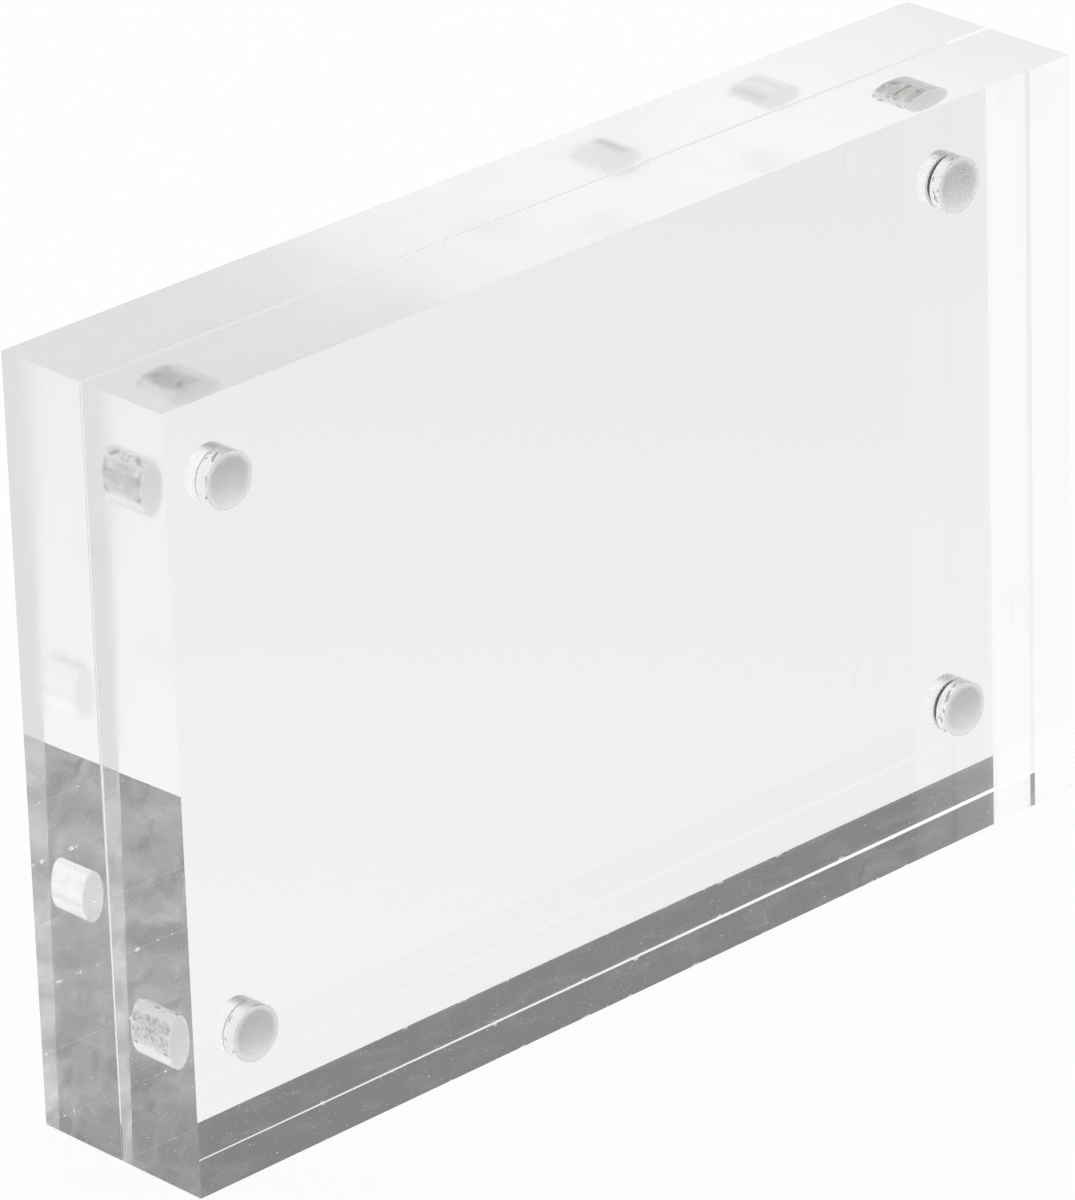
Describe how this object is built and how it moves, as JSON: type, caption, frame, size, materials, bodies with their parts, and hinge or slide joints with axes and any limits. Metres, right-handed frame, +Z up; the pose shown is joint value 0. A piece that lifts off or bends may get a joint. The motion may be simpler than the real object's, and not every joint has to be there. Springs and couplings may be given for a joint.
{
  "type": "acrylic block frame",
  "caption": "Clear acrylic block frame whose polished front slab pulls off its rear slab; disc magnets glued in the corners grip a loose print between them.",
  "frame": {"origin": "on the standing surface, under the middle of the frame, on the plane where the print lies", "axes": "+X to the right along the width, +Y to the back through the thickness, +Z up; the front face looks along -Y"},
  "size_m": [0.1524, 0.0278, 0.1016],
  "materials": {
    "clear_acrylic": "clear cast acrylic, polished faces and edges",
    "nickel_plate": "bright nickel plate on a neodymium magnet",
    "cured_adhesive": "milky cured adhesive"
  },
  "bodies": {
    "rear": {"rear_block": "clear_acrylic", "rear_magnet_top_left": "nickel_plate", "rear_magnet_top_right": "nickel_plate", "rear_magnet_bottom_left": "nickel_plate", "rear_magnet_bottom_right": "nickel_plate", "rear_adhesive_top_left": "cured_adhesive", "rear_adhesive_top_right": "cured_adhesive", "rear_adhesive_bottom_left": "cured_adhesive", "rear_adhesive_bottom_right": "cured_adhesive"},
    "front": {"front_block": "clear_acrylic", "front_magnet_top_left": "nickel_plate", "front_magnet_top_right": "nickel_plate", "front_magnet_bottom_left": "nickel_plate", "front_magnet_bottom_right": "nickel_plate", "front_adhesive_top_left": "cured_adhesive", "front_adhesive_top_right": "cured_adhesive", "front_adhesive_bottom_left": "cured_adhesive", "front_adhesive_bottom_right": "cured_adhesive"}
  },
  "joints": [
    {"name": "front_pull", "type": "slide", "parent": "rear", "child": "front", "axis": [0, -1, 0], "range_m": [0, 0.06]}
  ]
}
